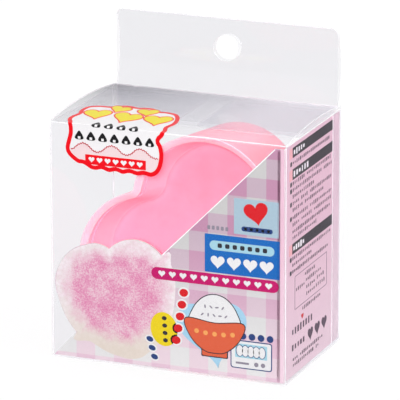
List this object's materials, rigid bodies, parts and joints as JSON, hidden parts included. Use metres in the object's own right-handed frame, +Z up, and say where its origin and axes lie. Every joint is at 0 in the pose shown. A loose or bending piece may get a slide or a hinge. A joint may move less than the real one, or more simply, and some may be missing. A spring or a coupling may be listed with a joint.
{
  "type": "rice ball mold",
  "caption": "Heart-shaped plastic rice ball mold with a press plate, in a clear hang box with a hinged tuck lid and a printed card.",
  "frame": {"origin": "middle of the whole part's footprint, on the surface the box stands on", "axes": "+Z up along the hang tab, -Y to the front panel that shows the mold, +X to the right of it"},
  "size_m": [0.0916, 0.061, 0.1191],
  "materials": {
    "clear_pet": "gloss",
    "pink_polypropylene": "satin",
    "printed_card": "matte",
    "printed_sticker": "gloss"
  },
  "bodies": {
    "box": {"front_panel": "clear_pet", "left_panel": "clear_pet", "right_panel": "clear_pet", "back_panel": "clear_pet", "tab_rear_ply": "clear_pet", "glue_flap": "clear_pet", "bottom_panel": "clear_pet", "bottom_dust_flap_left": "clear_pet", "bottom_dust_flap_right": "clear_pet", "bottom_tuck_flap": "clear_pet", "card_front_leaf": "printed_card", "card_side_leaf": "printed_card", "sticker_front": "printed_sticker"},
    "lid": {"lid_panel": "clear_pet", "sticker_lid": "printed_sticker"},
    "lid_tuck": {"lid_tuck_flap": "clear_pet"},
    "dust_left": {"dust_flap_left": "clear_pet"},
    "dust_right": {"dust_flap_right": "clear_pet"},
    "mold": {"mold_cup": "pink_polypropylene"},
    "press": {"press_plate": "pink_polypropylene"}
  },
  "joints": [
    {"name": "lid_hinge", "type": "hinge", "parent": "box", "child": "lid", "pos_m": [0, -0.03042, 0.09006], "axis": [1, 0, 0], "range_deg": [0, 120]},
    {"name": "lid_tuck_crease", "type": "hinge", "parent": "lid", "child": "lid_tuck", "pos_m": [0, 0.02684, 0.08966], "axis": [1, 0, 0], "range_deg": [-42, 0]},
    {"name": "dust_flap_left_crease", "type": "hinge", "parent": "box", "child": "dust_left", "pos_m": [-0.04545, 0, 0.08936], "axis": [0, -1, 0], "range_deg": [0, 42]},
    {"name": "dust_flap_right_crease", "type": "hinge", "parent": "box", "child": "dust_right", "pos_m": [0.04545, 0, 0.08936], "axis": [0, 1, 0], "range_deg": [0, 42]},
    {"name": "mold_shift", "type": "slide", "parent": "box", "child": "mold", "axis": [0, -1, 0], "range_m": [0, 0.005]},
    {"name": "press_lift", "type": "slide", "parent": "mold", "child": "press", "axis": [0, -1, 0], "range_m": [0, 0.012]}
  ],
  "couplings": [
    {"joint": "lid_tuck_crease", "follows": "lid_hinge", "ratio": -0.35},
    {"joint": "dust_flap_left_crease", "follows": "lid_hinge", "ratio": 0.35},
    {"joint": "dust_flap_right_crease", "follows": "lid_hinge", "ratio": 0.35}
  ]
}
